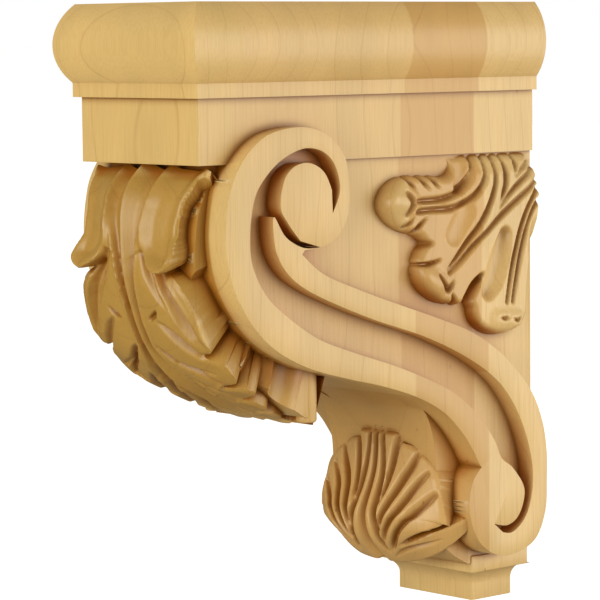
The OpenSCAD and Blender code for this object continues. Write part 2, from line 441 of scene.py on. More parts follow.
@dataclass
class Head:
    """The moulded block at the top: a roll, a fillet and a plain block."""

    half_width: float = 46.5
    depth: float = 240.0
    roll_height: float = 40.5
    roll_top_out: float = 2.0
    roll_out: float = 10.5
    fillet_out: float = 3.3
    fillet_height: float = 7.3
    block_height: float = 33.4
    roll_steps: int = 26
    softening: float = 0.8

    def profile(self) -> list[tuple[float, float]]:
        """Gives the moulding's rows of (stand-out, z), from the top down."""
        sag = self.roll_out - (self.roll_top_out + self.fillet_out) / 2
        half = self.roll_height / 2
        radius = (half ** 2 + sag ** 2) / (2 * sag)
        spread = math.asin(half / radius)
        rows = []
        for i in range(self.roll_steps + 1):
            share = i / self.roll_steps
            angle = spread * (1 - 2 * share)
            lean = self.roll_top_out + (self.fillet_out - self.roll_top_out) * share
            rows.append((lean + radius * (math.cos(angle) - math.cos(spread)),
                         -half + radius * math.sin(angle)))
        fillet_low = -self.roll_height - self.fillet_height
        return rows + [(self.fillet_out, fillet_low), (0.0, fillet_low),
                       (0.0, fillet_low - self.block_height)]

    def build(self) -> bpy.types.Object:
        """Builds the block, with its sharp edges sanded soft."""
        block = moulded("head", self.profile(), self.half_width, self.depth)
        apply_modifier(block, "BEVEL", width=self.softening * MM, segments=2,
                       limit_method="ANGLE", angle_limit=math.radians(28))
        return block


@dataclass
class Foot:
    """The stepped foot: an upper band, a hollow curve and a lower band."""

    half_width: float = 41.9
    depth: float = 44.0
    top: float = -302.0
    band_height: float = 9.4
    cove: float = 13.0
    low_band: float = 9.0
    bottom: float = -330.0
    cove_steps: int = 12
    softening: float = 0.6

    def build(self) -> bpy.types.Object:
        """Builds the foot, with its sharp edges sanded soft."""
        cove_top = self.top - self.band_height
        cove_low = self.bottom + self.low_band
        rows = [(0.0, self.top), (0.0, cove_top)]
        for i in range(1, self.cove_steps + 1):
            angle = math.pi / 2 * i / self.cove_steps
            rows.append((-self.cove * math.sin(angle),
                         cove_top + (cove_low - cove_top) * (1 - math.cos(angle))))
        rows.append((-self.cove, self.bottom))
        foot = moulded("foot", rows, self.half_width, self.depth)
        apply_modifier(foot, "BEVEL", width=self.softening * MM, segments=2,
                       limit_method="ANGLE", angle_limit=math.radians(35))
        return foot


@dataclass
class Scroll:
    """The S-shaped scroll on one side, with its sunk channel."""

    face: float = 57.0
    thickness: float = 25.0
    channel_depth: float = 11.0
    cutter_over: float = 5.0
    curve_steps: int = 6
    softening: float = 0.55
    front: Points = (
        (-51.5, -250.6), (-54.5, -246.5), (-58.5, -240), (-66.5, -230), (-80, -218), (-100, -208),
        (-125, -200), (-150, -194), (-175, -187), (-195, -178), (-210, -167), (-222, -152),
        (-229, -137), (-232, -119), (-230, -100), (-226, -88), (-217, -76), (-204, -67),
        (-186, -63.4), (-172, -64.5), (-160, -69.5), (-151, -79), (-148, -92),
        (-148.5, -108), (-155, -119), (-166, -124.5), (-179, -125.8))
    back: Points = (
        (-181, -128), (-166, -139), (-140, -149), (-110, -159), (-85, -167), (-60, -176),
        (-40, -187), (-25, -199), (-12, -213), (-4, -229), (-0.5, -245), (-0.2, -262),
        (-1.5, -280), (-10, -295), (-28, -301), (-43, -298.5), (-55, -289), (-61, -273),
        (-58.8, -259), (-53.5, -252))
    channel_low: Points = (
        (-159.5, -108), (-154.2, -96), (-158, -83), (-167, -75.8), (-180, -74.4),
        (-196, -80.5), (-209, -92), (-214, -103), (-216, -119), (-214, -133), (-205, -148),
        (-190, -160), (-170, -172), (-145, -181), (-115, -190.5), (-90, -200),
        (-72, -208.5), (-55, -221), (-42, -236), (-36, -247), (-27, -253.5), (-18.2, -266),
        (-22, -279), (-31, -284.3), (-42, -282.5))
    channel_up: Points = (
        (-35, -288), (-27, -288.5), (-17, -281), (-12, -268), (-12, -252), (-18, -233),
        (-28, -216), (-42, -202), (-65, -188.5), (-95, -176), (-130, -165), (-160, -154),
        (-180, -145), (-192, -136), (-199, -124), (-200, -108), (-192, -118.5),
        (-180, -124.6), (-168, -125))
    channel_eye: Points = (
        (-182, -121), (-190, -112), (-195.3, -103), (-192, -89), (-184, -82.6), (-174, -82),
        (-165, -87), (-160, -96))

    def build(self) -> bpy.types.Object:
        """Builds the scroll on the +X side."""
        outline, channel = (
            np.vstack([smooth_curve(part, self.curve_steps) for part in parts])
            for parts in ((self.front, self.back),
                          (self.channel_low, self.channel_up, self.channel_eye)))
        plate = slab("scroll", outline, self.face - self.thickness, self.face)
        cutter = slab("channel", channel, self.face - self.channel_depth,
                      self.face + self.cutter_over)
        combine(plate, [cutter], "DIFFERENCE")
        apply_modifier(plate, "BEVEL", width=self.softening * MM, segments=2,
                       limit_method="ANGLE", angle_limit=math.radians(50))
        return plate


@dataclass
class Body:
    """The flat-sided body behind the scrolls and leaves."""

    panel: float = 44.5
    core: float = 41.0
    gouge_depth: float = 7.0
    gouge_run_in: float = 14.0
    # The bead at the leaf's end: its y, its top, its bottom and its radius.
    end_bead: tuple[float, float, float, float] = (-160.5, -186, -217.5, 5.4)
    bead_out: float = 0.8
    bead_softening: float = 1.6
    panel_edge: Points = (
        (0, -60), (-195, -60), (-200, -140), (-120, -172), (-60, -195), (-20, -220),
        (-8, -250), (-4, -280), (0, -290))
    front_edge: Points = (
        (-222, -60), (-226, -84), (-232, -97), (-236, -106), (-238, -118), (-238.5, -136),
        (-234, -150), (-227.5, -163), (-219.5, -174), (-209, -184), (-196, -193),
        (-178, -206), (-161, -214.5), (-159, -192.5))
    under_edge: Points = (
        (-150, -194), (-125, -200), (-100, -208), (-80, -218), (-72, -236), (-70, -256),
        (-70, -280), (-62, -296), (-46, -306))
    # Each hollow: its line from the scroll towards the leaf, and its radius.
    gouges: tuple[tuple[float, float, float, float, float], ...] = (
        (-222, -143, -240, -149, 17.0), (-208, -166, -224, -181, 12.5),
        (-192, -178, -203, -196, 12.0), (-176, -186, -182, -206, 11.0))

    def gouge(self, number: int, side: int) -> bpy.types.Object:
        """Makes the cutter for one hollow cut behind the front leaf's edge.

        Args:
            number: which cut, counted from the top.
            side: +1 or -1, the side of the bracket.

        Returns:
            A closed rod that lies along the cut.
        """
        y0, z0, y1, z1, radius = self.gouges[number]
        head, foot = Vector((0, y0, z0)), Vector((0, y1, z1))
        run = (foot - head).normalized()
        head, foot = head - run * self.gouge_run_in, foot + run * self.gouge_run_in
        middle = (head + foot) / 2
        middle.x = side * (self.core + radius - self.gouge_depth)
        bpy.ops.mesh.primitive_cylinder_add(
            vertices=72, radius=radius * MM, depth=(foot - head).length * MM,
            location=middle * MM, rotation=run.to_track_quat("Z", "X").to_euler())
        rod = bpy.context.object
        bpy.ops.object.transform_apply(location=True, rotation=True, scale=True)
        return rod

    def bead(self, side: int) -> bpy.types.Object:
        """Makes the round bead that ends the leaf's block on one side.

        Args:
            side: +1 or -1, the side of the bracket.

        Returns:
            The closed bead.
        """
        y, top, low, radius = self.end_bead
        bpy.ops.mesh.primitive_cylinder_add(
            vertices=40, radius=radius * MM, depth=(top - low) * MM,
            location=Vector((side * (self.core - radius + self.bead_out), y,
                             (top + low) / 2)) * MM)
        rod = bpy.context.object
        bpy.ops.object.transform_apply(location=True, rotation=True, scale=True)
        apply_modifier(rod, "BEVEL", width=self.bead_softening * MM, segments=3,
                       limit_method="ANGLE", angle_limit=math.radians(60))
        return rod

    def build(self) -> bpy.types.Object:
        """Builds the panels and the core, with the gouge cuts."""
        edge = np.vstack([[(0, -60)], smooth_curve(self.front_edge, 3),
                          smooth_curve(self.under_edge, 5), [(0, -306)]])
        core = slab("core", edge, -self.core, self.core)
        cutters = [self.gouge(i, side) for side in (1, -1) for i in range(len(self.gouges))]
        combine(core, cutters, "DIFFERENCE")
        panel = slab("panel", np.array(self.panel_edge, float), -self.panel, self.panel)
        combine(core, [panel, self.bead(1), self.bead(-1)], "UNION")
        return core


# ---------------------------------------------------------------- carved leaves

def along_line(points: Points, s: np.ndarray) -> tuple[np.ndarray, ...]:
    """Places lengths along a line seen from the side.

    Args:
        points: the line's (y, z) points.
        s: lengths from its start.

    Returns:
        y and z at each length, and the line's direction there as dy and dz.
    """
    line = smooth_curve(points, 12)
    steps = np.hypot(*np.diff(line, axis=0).T)
    lengths = np.concatenate([[0], np.cumsum(steps)])
    y, z = np.interp(s, lengths, line[:, 0]), np.interp(s, lengths, line[:, 1])
    ahead = 0.5
    dy = np.interp(s + ahead, lengths, line[:, 0]) - np.interp(s - ahead, lengths, line[:, 0])
    dz = np.interp(s + ahead, lengths, line[:, 1]) - np.interp(s - ahead, lengths, line[:, 1])
    norm = np.maximum(np.hypot(dy, dz), 1e-9)
    return y, z, dy / norm, dz / norm


def ease(x: np.ndarray) -> np.ndarray:
    """Rises smoothly from 0 to 1 as x does."""
    x = np.clip(x, 0, 1)
    return x * x * (3 - 2 * x)


def come_in(x: np.ndarray, start_and_reach: tuple[float, float]) -> np.ndarray:
    """Rises smoothly from 0 at the start to 1 at the end of the reach."""
    start, reach = start_and_reach
    return ease((x - start) / reach)


def rear_face(r: Relief, ends: Points, narrowing: float) -> np.ndarray:
    """Places the plain back of a leaf: a plane inside the body.

    Args:
        r: the leaf's relief, whose v starts from nought.
        ends: the plane's (y, z) at the leaf's start and end.
        narrowing: its width, as a share of the leaf's.

    Returns:
        The back's points, rows by columns by 3.
    """
    share = r.v / r.v[-1, 0]
    (y0, z0), (y1, z1) = ends
    return np.dstack([r.x * narrowing, y0 + (y1 - y0) * share, z0 + (z1 - z0) * share])


def rounded_edge(edge: np.ndarray, drop: float, width: float) -> np.ndarray:
    """Gives how far a leaf's rim falls away near its outline.

    Args:
        edge: the distance to the outline, positive inside.
        drop: how far the rim falls at the outline.
        width: how far inside the fall starts.

    Returns:
        The fall at every grid point.
    """
    return drop * (1 - np.clip(edge / width, 0, 1)) ** 2


@dataclass
class FrontLeaf:
    """The long acanthus leaf down the front, carved alike on both halves."""

    half_width: float = 45.5
    length: float = 196.0
    cell: float = 0.7
    sunk: float = 26.0
    undercut: float = 0.15
    face_width: float = 43.0
    valley_bow: float = 1.6
    curl: float = 5.0
    lobe_rise: float = 1.5
    lobe_hollow: float = 2.6
    tip_clearance: float = 2.2
    rim_fall: tuple[float, float] = (1.4, 2.4)
    # Where each shape comes in: its start and its reach, down the leaf, up it or across.
    curl_down: tuple[float, float] = (42.0, 17.0)
    curl_across: tuple[float, float] = (14.0, 16.0)
    hollow_in: tuple[float, float] = (0.8, 7.0)
    clear_down: tuple[float, float] = (50.0, 8.0)
    clear_up: tuple[float, float] = (-76.0, 14.0)
    clear_across: tuple[float, float] = (12.0, 8.0)
    rear: Points = ((-200, -100), (-150, -190))
    rear_narrowing: float = 0.55
    line: Points = (
        (-236, -78), (-248.4, -90), (-253.4, -103), (-253.6, -118), (-250.5, -137),
        (-243, -154.5), (-236, -168.5), (-228, -180), (-216.5, -191), (-201, -200.5),
        (-180, -211), (-158, -219))
    outline: Points = (
        (-60, -6), (41.5, -6), (41.5, 7), (40.4, 15), (38.4, 25), (37.4, 34), (36.8, 42),
        (37.4, 48), (39, 53), (39, 58), (36.5, 61.5), (31, 63), (30.5, 64.5), (34.5, 67),
        (39, 72), (42.4, 79), (44.2, 87), (44.6, 96), (44.4, 104), (42.5, 109.5),
        (37.5, 109.5), (36, 111), (40.5, 115), (43.8, 121), (43.4, 129), (40.5, 135),
        (35, 134), (32.5, 135.5), (37.5, 139), (41, 145), (39.5, 150.5), (33, 151),
        (29.5, 152.5), (32.5, 157), (33, 164), (30, 169), (27.5, 170.5), (28.5, 176),
        (26, 184), (22, 188), (21, 192), (18, 200), (-60, 200))
    lobe: Points = (
        (16.4, -8), (16.4, 10), (16.2, 20), (14.9, 30), (14.2, 40), (14, 47), (15.4, 53),
        (19, 58), (24.5, 61), (31, 63.2), (36.5, 61.5), (39.4, 58), (39.4, 53), (37.8, 48),
        (37.2, 42), (37.8, 34), (38.8, 25), (41, 15), (43, 7), (43, -8))
    # How far each feature stands out from the line, and how far from the middle it lies,
    # at lengths down the leaf.
    crest: Points = (
        (0, -0.8), (40, -0.6), (50, 0.1), (60, 0.8), (70, 1.8), (80, 3.2), (90, 4.3),
        (100, 4.8), (120, 4.6), (140, 3.8), (160, 2.8), (196, 1))
    floor: Points = (
        (0, -7.4), (20, -7.2), (30, -6.4), (40, -5.4), (50, -4.2), (60, -3), (70, -1.6),
        (80, 0), (90, 1.2), (105, 1.6), (120, 0.6), (130, 0.2), (150, 0.4), (196, -1))
    floor_x: Points = (
        (0, 8), (20, 8), (30, 7), (40, 6), (50, 4.8), (60, 4.2), (70, 3.6), (80, 3.1),
        (95, 2.8), (105, 2.8), (120, 4.6), (130, 6), (145, 5), (196, 4))
    rim: Points = (
        (0, -5.2), (20, -5.2), (30, -4.4), (40, -2.6), (50, -1.4), (60, -0.4), (70, 0.8),
        (80, 2.2), (90, 3.3), (105, 3.9), (120, 3.4), (130, 2.6), (150, 2.2), (196, 0.4))
    rim_x: Points = (
        (0, 16.2), (20, 16), (30, 14.7), (40, 12.6), (50, 9.6), (60, 8), (70, 6.5),
        (80, 5.5), (90, 5.1), (105, 5.4), (120, 10.5), (130, 15), (145, 12), (196, 9))
    edge: Points = (
        (0, -7.5), (8, -8), (15, -10), (33, -12), (46, -9.5), (52, -6), (57, -3), (64, -3.4),
        (70, -2), (85, 0.2), (100, 1.6), (110, 0), (120, -1.6), (134, -1), (150, -2.5),
        (196, -4.5))
    belly: Points = ((0, 0), (55, 0), (65, 1.6), (100, 1.2), (125, 1.8), (196, 1.5))
    ribs: tuple[Stroke, ...] = (
        Stroke([(16.4, 4), (16.2, 20), (14.9, 30), (14.0, 40), (13.6, 47), (14.6, 53)],
               (1.5, 1.5, 1.5, 1.6, 1.8, 1), (0.7, 1, 1, 1.2, 1.4, 0.6)),
        Stroke([(10.5, 46), (8.4, 58), (6.8, 69), (5.7, 80), (5.3, 90), (5.4, 102),
                (8, 112), (12, 121), (17, 130)], 1.5, (0.5, 1, 1, 1, 1, 0.9, 0.8, 0.6, 0.3)),
        Stroke([(17, 52.5), (22.5, 60.5), (28.5, 67), (34, 74), (38.3, 83), (40.8, 92),
                (42.3, 101)], (1, 1.6, 2, 2.2, 2.2, 2, 1), (0.4, 1, 1.3, 1.3, 1.2, 1, 0.4)),
        Stroke([(16, 57), (20, 65), (24.3, 73), (28.5, 82), (32, 92)], 1.5,
               (0.4, 0.9, 1.1, 0.9, 0.3)),
    )
    creases: tuple[Stroke, ...] = (
        Stroke([(15.5, 51), (19, 58.5), (23, 65), (27, 71.5), (31.6, 80), (36, 90),
                (39, 97), (41.5, 104)], (0.8, 2.6, 4.2, 4.8, 5, 4.6, 4, 2),
               (0.6, 2.6, 4.2, 5, 5, 4.4, 3.2, 0.8)),
        Stroke([(12.5, 52), (15.5, 60), (19, 68), (23.5, 76), (27.5, 83)],
               (0.6, 2, 2.6, 2.4, 0.8), (0.6, 2.2, 2.8, 2.2, 0.6)),
        Stroke([(19, 83), (16.5, 86), (13.5, 88), (11, 89.5)], (0.6, 1.6, 1.7, 0.6),
               (1, 3.6, 3.6, 1)),
        Stroke([(17, 89), (22, 93), (27, 98.5), (31.5, 104), (36, 110)],
               (0.8, 2.6, 3.4, 3.4, 2.4), (0.6, 2.8, 4, 4, 2.8)),
        Stroke([(8, 104), (12, 108), (16.5, 113), (22, 118), (29, 124), (34, 131)],
               (0.8, 2.2, 2.6, 2.8, 2.8, 1.6), (0.8, 3.6, 4.6, 4.6, 3.6, 1.4)),
        Stroke([(14, 110), (19, 114.5), (25, 118), (31, 121), (37, 124)],
               (0.6, 1.8, 2.2, 2, 0.6), (0.6, 2.6, 3.2, 2.6, 0.6)),
        Stroke([(16, 126), (21, 134), (27, 142), (31, 150)], (0.8, 2.6, 3, 1.8),
               (0.8, 3.8, 4.4, 2.4)),
        Stroke([(9, 122), (12.5, 135), (17, 147), (22, 158), (27, 169)],
               (0.8, 2.4, 2.8, 2.8, 1.6), (0.8, 3.6, 4.4, 4.2, 2)),
        Stroke([(7, 138), (9.5, 152), (13, 166), (17, 178), (20, 190)],
               (0.8, 2, 2.4, 2.4, 1.6), (0.8, 3, 3.8, 3.4, 2)),
    )
    folds: tuple[Fold, ...] = (
        Fold([(14.5, 52), (18, 58.5), (24.5, 62), (31, 64)], 2.4, 5),
        Fold([(16.5, 113), (22, 118), (29, 124), (34, 131)], (1, 2.4, 2.4), 7),
        Fold([(21, 134), (27, 142), (31, 150)], (1, 2.4, 2.4), 7),
        Fold([(17, 147), (22, 158), (27, 169)], (1, 2.2, 2.2), 6),
    )

    def sides(self, x: np.ndarray, s: np.ndarray) -> np.ndarray:
        """Gives the leaf's plain shape: crest, valley, rim and swelling outer face.

        Args:
            x: the distance from the middle.
            s: the length down the leaf.

        Returns:
            The height at every point.
        """
        crest, floor, floor_x, rim, rim_x, edge, belly = (
            np.interp(s, *zip(*rows)) for rows in (
                self.crest, self.floor, self.floor_x, self.rim, self.rim_x, self.edge,
                self.belly))
        slope = crest - (crest - floor) * np.clip(x / floor_x, 0, 1)
        rise = np.clip((x - floor_x) / (rim_x - floor_x), 0, 1)
        valley = (slope + (rim - floor) * rise ** 1.8
                  - self.valley_bow * np.sin(np.pi * rise) ** 2)
        out = np.clip((x - rim_x) / (self.face_width - rim_x), 0, 1)
        face = rim + (edge - rim) * out ** 1.5 + belly * 4 * out * (1 - out)
        return np.where(x < rim_x, valley, face)

    def carve(self) -> Relief:
        """Carves the leaf's relief."""
        r = Relief((-self.half_width, self.half_width), (0, self.length), self.cell)
        r.fold_halves()
        body = self.sides(r.u, r.v)
        # The top lobe is spoon-shaped: it stands over the rest and its tip curls out.
        inset = r.inside(self.lobe)
        curl = self.curl * come_in(r.v, self.curl_down) * come_in(r.u, self.curl_across)
        hollow = (self.lobe_hollow + 0.6 * curl) * come_in(inset, self.hollow_in)
        spoon = body + self.lobe_rise + curl - hollow
        # Below its tip the leaf drops a little, so that the tip stands clear.
        clear = (come_in(r.v, self.clear_down) * come_in(-r.v, self.clear_up)
                 * come_in(r.u, self.clear_across))
        body = body - self.tip_clearance * clear
        share = ease(inset + 0.5)
        r.ground = body * (1 - share) + spoon * share
        r.raise_up(self.ribs)
        r.cut(self.creases)
        r.fold(self.folds)
        return r

    def build(self) -> bpy.types.Object:
        """Builds the leaf as a solid sunk into the body."""
        r = self.carve()
        edge = r.inside(self.outline, 3)
        across, along, wall = r.snap(edge)
        x = (r.x + across) * (1 - self.undercut * wall)
        y, z, dy, dz = along_line(self.line, r.v + along)
        height = r.height - rounded_edge(edge, *self.rim_fall)
        height = height * (1 - wall) - self.sunk * wall
        height[[0, -1]] = -self.sunk
        front = np.dstack([x, y + dz * height, z - dy * height])
        return r.solid("front_leaf", front, rear_face(r, self.rear, self.rear_narrowing))


@dataclass
class FanLeaf:
    """The small fan of leaves over the foot, carved alike on both halves."""

    half_width: float = 56.8
    length: float = 94.0
    cell: float = 0.65
    sunk: float = 34.0
    sunk_width: float = 43.0
    # How much deeper the valleys are than their strokes say.
    boldness: float = 1.3
    # Where the lip at the top starts and ends, down the line, and how far it steps back.
    lip: tuple[float, float, float] = (86.0, 88.0, 1.5)
    lip_slope: float = 1.2
    rim_fall: tuple[float, float] = (1.4, 2.6)
    rear: Points = ((-20, -290), (-40, -225))
    rear_narrowing: float = 0.5
    line: Points = (
        (-66, -309), (-72, -305), (-78, -299.5), (-84, -293), (-87, -287), (-88, -281),
        (-87.5, -276), (-85, -270), (-81.5, -263), (-78.5, -255), (-77, -246),
        (-76.5, -234), (-78, -226))
    outline: Points = (
        (-60, 4), (8, 4), (18, 3.5), (30, 3.5), (42, 4), (51, 7), (55.5, 12), (54.5, 17),
        (48, 20), (40, 22.5), (35, 25), (40, 29), (45, 33.5), (48, 39.5), (49, 45),
        (48.6, 51), (46.6, 57), (44, 64), (40, 71), (34, 75.5), (28, 79), (24, 80.5),
        (17, 82), (15.5, 86), (16, 88), (14, 91), (-60, 91))
    # How much the fan falls away sideways: by the square and by the cube of x.
    droop_square: Points = (
        (0, 0.0028), (20, 0.0028), (32, 0.0008), (42, 0.0008), (56, 0.0043), (65, 0.0036),
        (74, 0.0045), (79, 0.0063), (94, 0.007))
    droop_cube: Points = ((0, 0.00012), (42, 0.00013), (56, 0.0), (94, 0.0))
    valleys: tuple[Stroke, ...] = (
        Stroke([(0, 0), (0, 20), (0, 40), (0, 60), (0, 87)], (5.5, 5.6, 3.8, 2.4, 2.3),
               (2, 4, 3.8, 3, 2.8), Tool.SOFT),
        Stroke([(12.5, 14), (10.6, 22), (9.6, 32), (8.6, 40), (7.8, 46), (7.2, 54), (7, 63),
                (6.2, 72), (5.4, 80), (5, 87)], (1, 2.4, 2.8, 3, 3.2, 2.8, 2.6, 2.4, 2.2, 2.2),
               (0.6, 3, 3.6, 4, 4, 3.6, 3.2, 2.8, 2.6, 2.4), Tool.SOFT),
        Stroke([(9.6, 45), (11, 53), (12.2, 62), (13.4, 70), (14.6, 78), (16, 84)],
               (0.6, 2, 2.6, 3, 3.2, 3), (0.4, 2.6, 3.2, 3.4, 3.2, 2.4), Tool.SOFT),
        Stroke([(10.5, 27), (13, 36.5), (15.6, 45), (18.4, 54), (22, 62.5), (26, 69),
                (29, 76)], (0.8, 2.4, 3, 3.4, 3.6, 3.4, 2.6),
               (0.6, 3, 3.8, 4, 4, 3.4, 2), Tool.SOFT),
        Stroke([(12.5, 22), (16, 30.7), (19.6, 37.7), (24, 46), (27.5, 54), (31.5, 61),
                (36.5, 67)], (0.8, 2.4, 2.8, 3.2, 3.4, 3, 2.2),
               (0.6, 3, 3.8, 4, 3.8, 3, 1.6), Tool.SOFT),
        Stroke([(15, 16), (18.6, 21.8), (23.6, 30.7), (29, 38.6), (33.5, 46), (38, 52.6),
                (43, 58)], (0.8, 2.4, 2.8, 3.4, 3.8, 3.4, 2.4),
               (0.6, 3, 3.8, 4.2, 4.2, 3.4, 2), Tool.SOFT),
        Stroke([(22, 20), (27, 22), (32, 24), (38, 26)], (0.8, 2.4, 3.6, 4.6),
               (0.6, 3.4, 5, 6), Tool.SOFT),
        Stroke([(14, 11), (20, 15), (26, 16.5), (34, 16), (42, 14.5)], (0.8, 1.8, 2.2, 2, 0.8),
               (0.5, 1.6, 2, 1.8, 0.5), Tool.SOFT),
        Stroke([(-1, 86.8), (8, 86.8), (16, 86.8), (21, 87)], 1.4, 2.6),
    )

    def carve(self) -> Relief:
        """Carves the fan's relief."""
        r = Relief((-self.half_width, self.half_width), (0, self.length), self.cell)
        r.fold_halves()
        start, end, step = self.lip
        r.ground = (-step * ease((r.v - start) / (end - start))
                    - self.lip_slope * np.maximum(r.v - end, 0))
        r.cut(self.valleys)
        return r

    def build(self) -> bpy.types.Object:
        """Builds the fan as a solid sunk into the body."""
        r = self.carve()
        edge = r.inside(self.outline, 3)
        across, along, wall = r.snap(edge)
        y, z, dy, dz = along_line(self.line, r.v + along)
        droop = sum(np.interp(r.v, *zip(*rows)) * r.u ** power
                    for rows, power in ((self.droop_square, 2), (self.droop_cube, 3)))
        height = self.boldness * r.height - droop - rounded_edge(edge, *self.rim_fall)
        height = height * (1 - wall) - self.sunk * wall
        height[[0, -1]] = -self.sunk
        x = r.x + across
        x = np.where(wall > 0, np.clip(x, -self.sunk_width, self.sunk_width), x)
        front = np.dstack([x, y - dz * height, z + dy * height])
        return r.solid("fan_leaf", front, rear_face(r, self.rear, self.rear_narrowing))


@dataclass
class SideLeaf:
    """The spray of leaves that fills the panel on one side."""

    panel: float = 44.5
    relief: float = 7.6
    rounding: float = 4.5
    sunk: float = 2.0
    back: float = 12.0
    cell: float = 0.65
    # How much of the relief is left where the leaf runs out at the wall, by height.
    wall_profile: Points = (
        (-184, 0), (-147, 0), (-141, 0.6), (-135.5, 0.05), (-132, 0.05), (-127, 0.4),
        (-118, 0.78), (-107, 0.95), (-97, 0.8), (-88, 0.35), (-81, 0.16))
    outline: Points = (
        (-69, -76), (-69, -81), (-66.5, -84), (-65, -87.5), (-67, -91), (-72.5, -92.6),
        (-80, -91.6), (-92, -91.2), (-101, -91.2),
        (-109, -93.5), (-115, -98), (-118.5, -104), (-117.5, -110), (-112, -116),
        (-105, -120), (-97, -122.5), (-91, -124.5), (-88.5, -128), (-91, -132),
        (-93.5, -137), (-93.5, -144), (-91, -150), (-86, -155), (-78, -159.5),
        (-70, -161.5), (-62, -162.8), (-56, -162), (-52.5, -164), (-51.5, -168),
        (-49, -173), (-44, -177), (-37, -180), (-28, -181), (-20, -179.5), (-13, -176.5),
        (-9, -172), (-8, -168), (-6, -150), (-1, -136), (12, -134), (12, -76))

    def carve(self) -> Relief:
        """Carves the spray's relief, seen square on as (y, z)."""
        r = Relief((-124, 0), (-184, -76), self.cell)
        inset = r.inside(self.outline)
        fall = 1 - np.clip(inset / self.rounding, 0, 1)
        r.ground = self.relief * np.sqrt(1 - fall ** 2)
        r.swell([
            Stroke([(-112, -104), (-100, -106)], 11, 3.0, Tool.SOFT),
            Stroke([(-88, -146), (-80, -150)], 10, 3.0, Tool.SOFT),
            Stroke([(-34, -172), (-20, -173)], 9, 2.4, Tool.SOFT),
            Stroke([(-40, -95), (-46, -118)], 16, 1.6, Tool.SOFT),
            Stroke([(-60.5, -84), (-58.5, -92), (-62, -98.5)], (5.5, 6.5, 5), -3.6, Tool.ROUND),
            Stroke([(-58, -112), (-66, -124)], 7, -2.0, Tool.ROUND),
            Stroke([(-27, -126), (-31, -138), (-36, -150), (-40, -156)], (5, 8, 8, 6), -4.0,
                   Tool.ROUND),
        ])
        top = np.interp(r.v, [-98, -92, -86, -81.5], [1, 0.9, 0.62, 0.16])
        wallward = np.interp(r.v, *zip(*self.wall_profile))
        share = ease(-r.u / 10)
        r.ground *= np.clip(inset / 0.5, 0, 1) * top * (share + (1 - share) * wallward)
        r.cut([
            Stroke([(-50, -82), (-50.5, -88), (-53, -94), (-58, -99), (-66, -102.5),
                    (-75, -104.5), (-85, -105), (-95, -105)], (1.6, 2.4, 2.4, 2),
                   (1.5, 3.2, 3.2, 2.5)),
            Stroke([(-41, -82.5), (-42, -90), (-45, -97), (-51, -103.5), (-60, -108),
                    (-70, -110), (-82, -110), (-95, -110.5)], (1.6, 2.4, 2.4, 2),
                   (1.5, 3.2, 3.2, 2.5)),
            Stroke([(-33.5, -83), (-34.5, -92), (-37.5, -103), (-43, -113), (-51, -123),
                    (-60, -132), (-70, -142)], (1.8, 2.8, 2.6, 2), (1.5, 3.4, 3.4, 2.5)),
            Stroke([(0, -97), (-15, -106), (-28, -114), (-40, -122), (-52, -131), (-62, -139),
                    (-70, -144)], (2, 2.4, 2.4, 2), (2.4, 3, 3, 2.5)),
            Stroke([(0, -89), (-17, -99), (-27, -107), (-31.5, -112)], (2, 2.2, 1.6, 0.6),
                   (2.2, 2.8, 2, 0.8)),
            Stroke([(-27, -82), (-25.3, -90), (-26.5, -98), (-29, -105), (-31.5, -112)],
                   (1.2, 2.6, 2.4, 0.8), (1, 3.2, 3, 0.8)),
            Stroke([(-17.5, -82.5), (-16.5, -88), (-18.5, -95)], (1, 2.2, 0.6), (1, 2.6, 0.8)),
            Stroke([(-4, -86), (-12, -90.5), (-18.5, -95)], (1.6, 1.6, 0.6), (2, 2, 0.8)),
            Stroke([(0, -101), (-8, -111), (-14, -122), (-18.5, -134), (-22.5, -147),
                    (-26, -163)], (2, 2.4, 2.2, 1.6), (2.4, 3.2, 3, 2)),
            Stroke([(0, -108), (-6, -116), (-11, -126), (-15.5, -139), (-19, -152),
                    (-21.5, -163)], (2, 2.2, 2, 1.5), (2.4, 3, 2.8, 2)),
            *(Stroke(line, (2.2, 1.6, 0.4), (3.5, 2.5, 0.4)) for line in (
                [(-100.5, -91), (-98, -96), (-93.5, -100)],
                [(-91, -91), (-88, -96), (-83.5, -100)],
                [(-83, -91), (-80, -96), (-76, -99.5)])),
            Stroke([(-102.5, -101), (-99, -105.5), (-102.5, -111)], (2.6, 3.4, 2.6), (2.5, 4, 2.5)),
            Stroke([(-96, -113), (-99, -116), (-103, -118)], (0.6, 1.4, 2), (0.6, 2, 3)),
            Stroke([(-86, -113.5), (-91, -117), (-95, -121)], (0.6, 1.6, 2.4), (0.6, 2.5, 4)),
            Stroke([(-99, -127), (-90, -127.8), (-82, -128)], (4, 3.4, 1), (9, 7, 1)),
            Stroke([(-95, -138.5), (-86, -138.8), (-77, -137)], (1.6, 1.4, 1), (5, 4, 1.5)),
            Stroke([(-79, -145), (-76, -149), (-71, -153), (-67, -149)], (1.6, 2.4, 2.4, 1),
                   (2, 3.4, 3.4, 1)),
            Stroke([(-68, -156), (-66, -160), (-65, -164)], (1, 2, 2.6), (1.5, 4, 7)),
            Stroke([(-45, -148), (-51, -153), (-56, -160)], (3, 4, 4.4), (6, 8, 8)),
            Stroke([(-34, -170.5), (-30, -171.5), (-26, -170.5)], (0.6, 1.4, 0.6), (0.6, 3, 0.6)),
            Stroke([(-24, -171.5), (-20, -173), (-16, -170.5)], (0.6, 1.4, 0.6), (0.6, 3, 0.6)),
        ])
        r.cuts = np.minimum(r.cuts, np.maximum(r.ground, 0) + 0.5)
        return r

